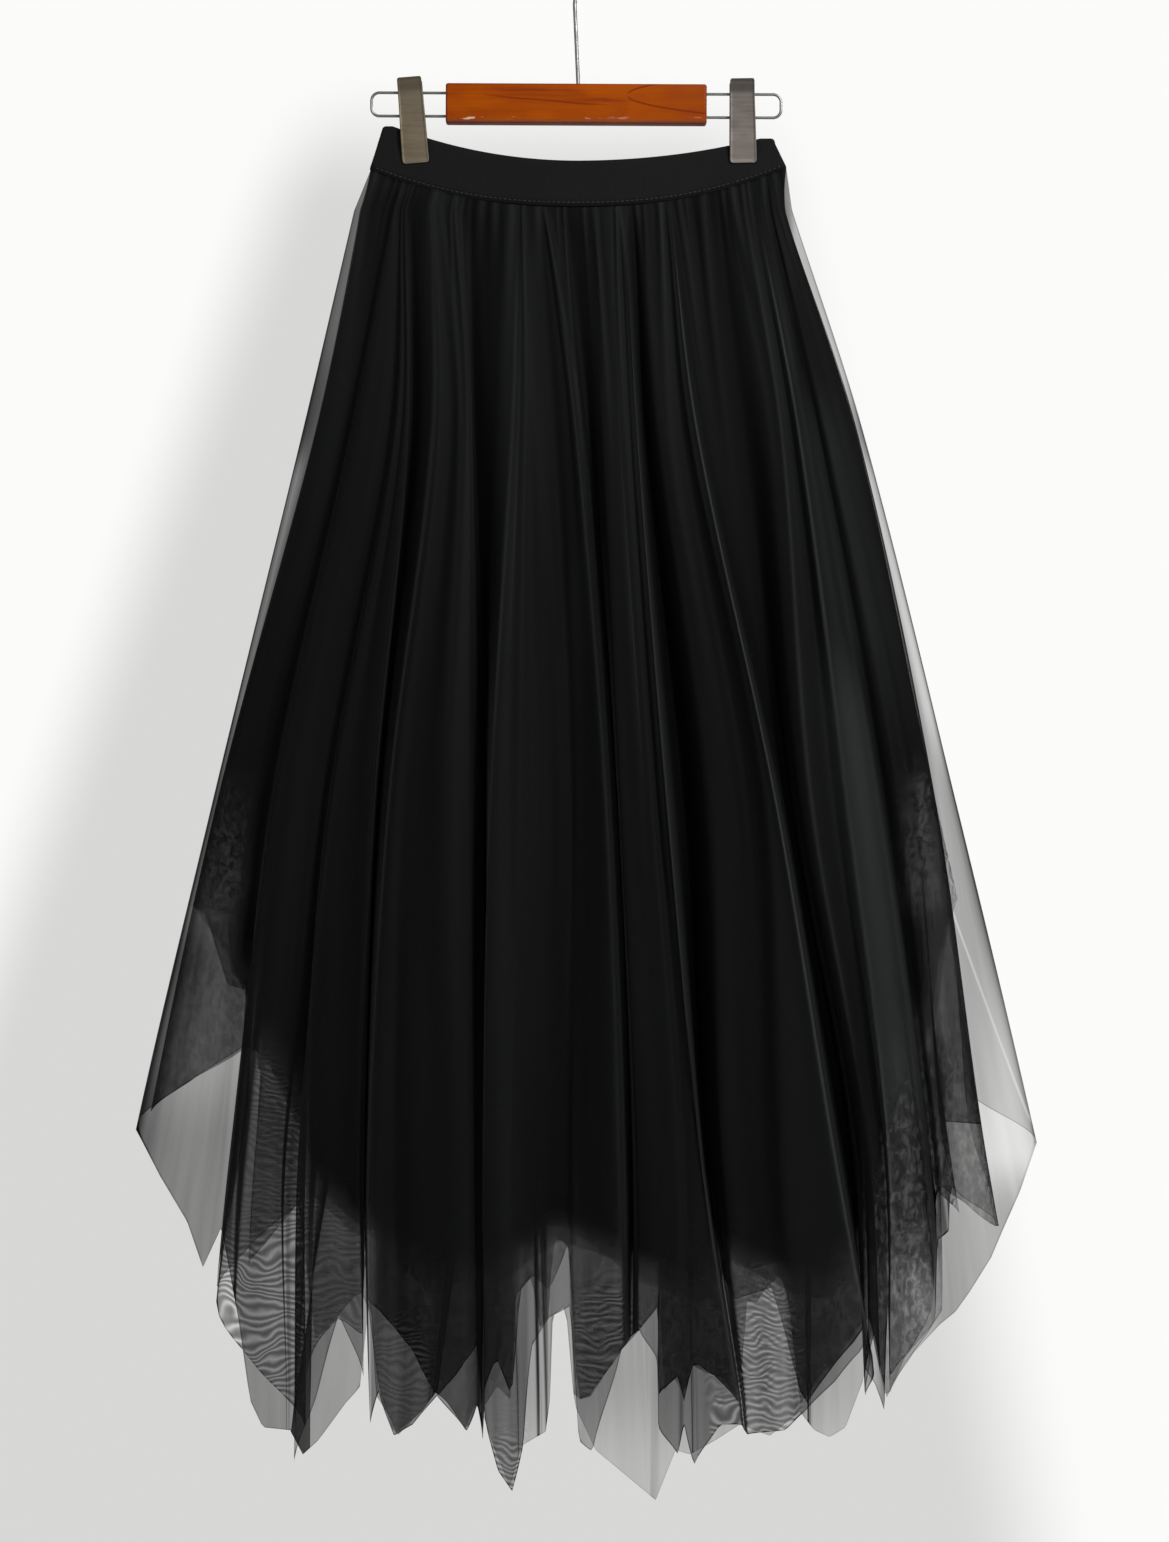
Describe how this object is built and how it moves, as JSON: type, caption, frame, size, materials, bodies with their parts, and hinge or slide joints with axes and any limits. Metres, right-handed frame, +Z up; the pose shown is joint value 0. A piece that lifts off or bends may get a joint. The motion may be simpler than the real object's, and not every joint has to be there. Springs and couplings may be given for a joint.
{
  "type": "tulle skirt on a clip hanger",
  "caption": "Long black layered tulle skirt with an elastic waistband and a pointed handkerchief hem, hung from a wooden clip hanger.",
  "frame": {"origin": "inner top of the hanger's hook, where a rail or wall hook carries it", "axes": "+X to the viewer's right along the waistband, +Y away from the viewer through the skirt, +Z up"},
  "size_m": [0.6302, 0.2074, 1.0988],
  "materials": {
    "wood": "orange-brown cherry varnish with dark grain, satin",
    "wire": "bright drawn steel wire",
    "clip_steel": "satin nickel on pressed steel",
    "waistband": "matt black elastic band",
    "tulle": "sheer black net, fine even mesh",
    "lining": "close black knit lining, matt"
  },
  "bodies": {
    "root": {"hanger_bar": "wood", "hanger_wire_left": "wire", "hanger_wire_right": "wire", "hanger_hook": "wire", "clip_left_front_plate": "clip_steel", "clip_left_back_plate": "clip_steel", "clip_left_barrel": "clip_steel", "clip_right_front_plate": "clip_steel", "clip_right_back_plate": "clip_steel", "clip_right_barrel": "clip_steel", "waistband_front": "waistband", "waistband_back": "waistband", "outer_tulle_front": "tulle", "outer_tulle_back": "tulle", "inner_tulle_front": "tulle", "inner_tulle_back": "tulle", "lining_front": "lining", "lining_back": "lining"}
  },
  "joints": []
}
